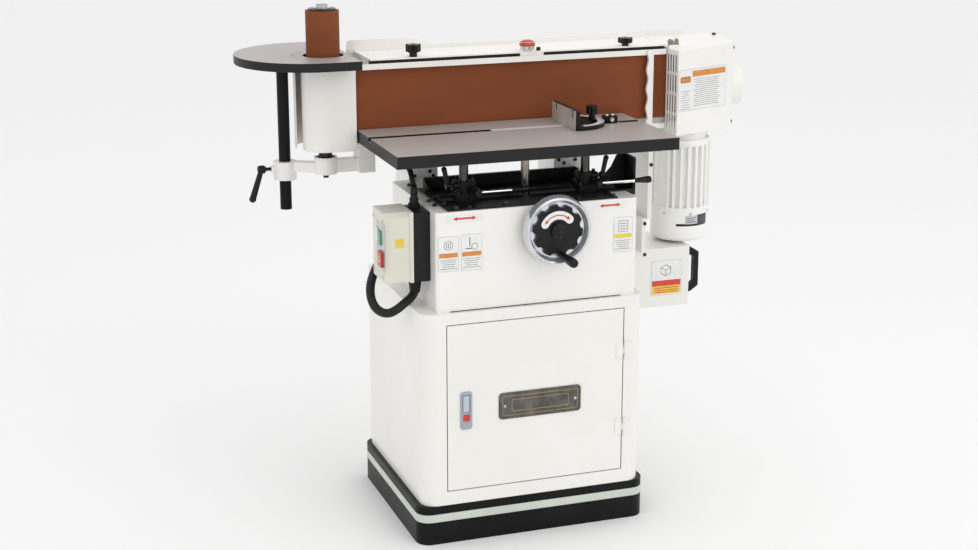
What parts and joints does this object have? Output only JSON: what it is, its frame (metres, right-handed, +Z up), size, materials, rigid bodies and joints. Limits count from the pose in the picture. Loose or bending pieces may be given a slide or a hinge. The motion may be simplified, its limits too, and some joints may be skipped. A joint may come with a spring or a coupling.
{
  "type": "edge sander",
  "caption": "Floor-standing edge sander: cabinet, lifting work table with mitre gauge, upright belt on a long head, idler spindle with end table, motor under the drive cover.",
  "frame": {"origin": "on the floor at the centre of the plinth's underside", "axes": "+X to the drive and dust port end, +Y to the back, +Z up"},
  "size_m": [1.248, 0.704, 1.169],
  "materials": {
    "white_paint": "semi-gloss powder coat",
    "black_paint": "semi-gloss enamel",
    "ground_iron": "ground and polished",
    "chrome": "polished",
    "steel": "machined",
    "motor_alu": "cast, painted white",
    "abrasive": "cloth-backed abrasive",
    "black_plastic": "moulded",
    "red_plastic": "moulded",
    "green_plastic": "moulded",
    "beige_plastic": "moulded",
    "lead_rubber": "matt sheath"
  },
  "bodies": {
    "frame": {"base_plinth": "black_paint", "cabinet_body": "white_paint", "upper_housing": "white_paint", "saddle_casting": "black_paint", "post_collars": "black_paint", "lift_gearbox": "black_paint", "head_column": "white_paint", "head_casting": "white_paint", "platen": "steel", "sanding_belt": "abrasive", "belt_front_strip": "white_paint", "top_cover": "white_paint", "work_stop": "white_paint", "rear_guard": "white_paint", "idler_guard": "white_paint", "idler_arm": "white_paint", "drive_cover": "white_paint", "dust_port": "white_paint", "motor_frame": "motor_alu", "motor_fan_cover": "white_paint", "bearings": "steel", "belt_side_guards": "white_paint", "pull_handle": "black_plastic", "switch_box": "black_plastic", "switch_cover": "beige_plastic", "motor_lead": "lead_rubber", "supply_conduit": "lead_rubber", "machine_screws": "steel"},
    "cabinet_door": {"cabinet_door": "white_paint", "latch_body": "steel"},
    "latch_button": {"latch_button": "red_plastic"},
    "handwheel": {"handwheel": "chrome", "handwheel_centre": "black_plastic", "handwheel_shaft": "steel"},
    "crank_handle": {"crank_handle": "black_plastic"},
    "lift_nut": {"lift_nut_gear": "steel"},
    "lift_table": {"main_table": "ground_iron", "lift_posts": "chrome", "lift_screw": "chrome"},
    "mitre_bar": {"mitre_bar": "steel"},
    "mitre_head": {"mitre_head": "black_paint"},
    "mitre_knob": {"mitre_knob": "black_plastic"},
    "left_lock_lever": {"left_lock_lever": "steel"},
    "right_lock_lever": {"right_lock_lever": "steel"},
    "left_ratchet_lever": {"left_ratchet_lever": "black_plastic"},
    "right_ratchet_lever": {"right_ratchet_lever": "black_plastic"},
    "idler_spindle": {"idler_shaft": "steel", "idler_drum": "ground_iron", "spindle_sleeve": "abrasive"},
    "drive_rotor": {"drive_drum": "ground_iron", "motor_rotor": "steel"},
    "end_table": {"end_table": "ground_iron", "end_table_post": "black_paint"},
    "end_table_lever": {"end_table_lever": "black_plastic"},
    "start_button": {"start_button": "green_plastic"},
    "stop_button": {"stop_button": "red_plastic"},
    "left_star_knob": {"left_star_knob": "black_plastic"},
    "right_star_knob": {"right_star_knob": "black_plastic"},
    "tracking_knob": {"tracking_knob": "steel"},
    "cover_latch": {"cover_latch": "steel"}
  },
  "joints": [
    {"name": "door_hinge", "type": "hinge", "parent": "frame", "child": "cabinet_door", "pos_m": [0.216, -0.2355, 0.32], "axis": [0, 0, 1], "range_deg": [0, 110]},
    {"name": "latch_press", "type": "slide", "parent": "cabinet_door", "child": "latch_button", "axis": [0, 1, 0], "range_m": [0, 0.003], "stiffness_N_per_m": 400},
    {"name": "handwheel_turn", "type": "hinge", "parent": "frame", "child": "handwheel", "pos_m": [0.041, -0.24, 0.709], "axis": [0, 1, 0], "range_deg": [-144, 6480]},
    {"name": "crank_spin", "type": "hinge", "parent": "handwheel", "child": "crank_handle", "pos_m": [0.0505, -0.29, 0.652], "axis": [0, 1, 0], "continuous": true},
    {"name": "nut_turn", "type": "hinge", "parent": "frame", "child": "lift_nut", "pos_m": [0.0135, -0.12, 0.709], "axis": [0, 0, 1], "range_deg": [-72, 3240]},
    {"name": "table_lift", "type": "slide", "parent": "frame", "child": "lift_table", "axis": [0, 0, 1], "range_m": [-0.002, 0.09]},
    {"name": "mitre_slide", "type": "slide", "parent": "lift_table", "child": "mitre_bar", "axis": [1, 0, 0], "range_m": [-0.28, 0.05]},
    {"name": "mitre_swivel", "type": "hinge", "parent": "mitre_bar", "child": "mitre_head", "pos_m": [0.172, 0.005, 0.89], "axis": [0, 0, 1], "range_deg": [-60, 60]},
    {"name": "mitre_knob_turn", "type": "hinge", "parent": "mitre_bar", "child": "mitre_knob", "pos_m": [0.225, 0.005, 0.9], "axis": [0, 0, 1], "range_deg": [0, 270]},
    {"name": "left_lock_turn", "type": "hinge", "parent": "frame", "child": "left_lock_lever", "pos_m": [-0.1125, -0.165, 0.7855], "axis": [0, -1, 0], "range_deg": [0, 25]},
    {"name": "right_lock_turn", "type": "hinge", "parent": "frame", "child": "right_lock_lever", "pos_m": [0.172, -0.165, 0.7855], "axis": [0, -1, 0], "range_deg": [0, 25]},
    {"name": "left_ratchet_turn", "type": "hinge", "parent": "frame", "child": "left_ratchet_lever", "pos_m": [-0.165, -0.128, 0.796], "axis": [1, 0, 0], "range_deg": [-40, 40]},
    {"name": "right_ratchet_turn", "type": "hinge", "parent": "frame", "child": "right_ratchet_lever", "pos_m": [0.192, -0.128, 0.796], "axis": [1, 0, 0], "range_deg": [-40, 40]},
    {"name": "drive_spin", "type": "hinge", "parent": "frame", "child": "drive_rotor", "pos_m": [0.524, 0.1513, 0.74], "axis": [0, 0, 1], "continuous": true},
    {"name": "idler_spin", "type": "hinge", "parent": "frame", "child": "idler_spindle", "pos_m": [-0.3725, 0.1513, 0.9], "axis": [0, 0, 1], "continuous": true},
    {"name": "end_table_height", "type": "slide", "parent": "frame", "child": "end_table", "axis": [0, 0, 1], "range_m": [0, 0.08]},
    {"name": "end_table_lever_turn", "type": "hinge", "parent": "frame", "child": "end_table_lever", "pos_m": [-0.5, 0.2, 0.791], "axis": [1, 0, 0], "range_deg": [-30, 30]},
    {"name": "start_press", "type": "slide", "parent": "frame", "child": "start_button", "axis": [1, 0, 0], "range_m": [0, 0.004], "stiffness_N_per_m": 400},
    {"name": "stop_press", "type": "slide", "parent": "frame", "child": "stop_button", "axis": [1, 0, 0], "range_m": [0, 0.004], "stiffness_N_per_m": 400},
    {"name": "left_star_turn", "type": "hinge", "parent": "frame", "child": "left_star_knob", "pos_m": [-0.17, 0.119, 1.06], "axis": [0, 0, 1], "range_deg": [0, 360]},
    {"name": "right_star_turn", "type": "hinge", "parent": "frame", "child": "right_star_knob", "pos_m": [0.355, 0.119, 1.057], "axis": [0, 0, 1], "range_deg": [0, 360]},
    {"name": "tracking_turn", "type": "hinge", "parent": "frame", "child": "tracking_knob", "pos_m": [0.107, 0.119, 1.058], "axis": [0, 0, 1], "range_deg": [-360, 360]},
    {"name": "latch_flip", "type": "hinge", "parent": "frame", "child": "cover_latch", "pos_m": [0.486, 0.107, 1.0468], "axis": [0, 1, 0], "range_deg": [0, 100]}
  ],
  "couplings": [
    {"joint": "nut_turn", "follows": "handwheel_turn", "ratio": 0.5},
    {"joint": "table_lift", "follows": "handwheel_turn", "m_per_rad": 0.00079577},
    {"joint": "idler_spin", "follows": "drive_spin", "ratio": 1}
  ]
}
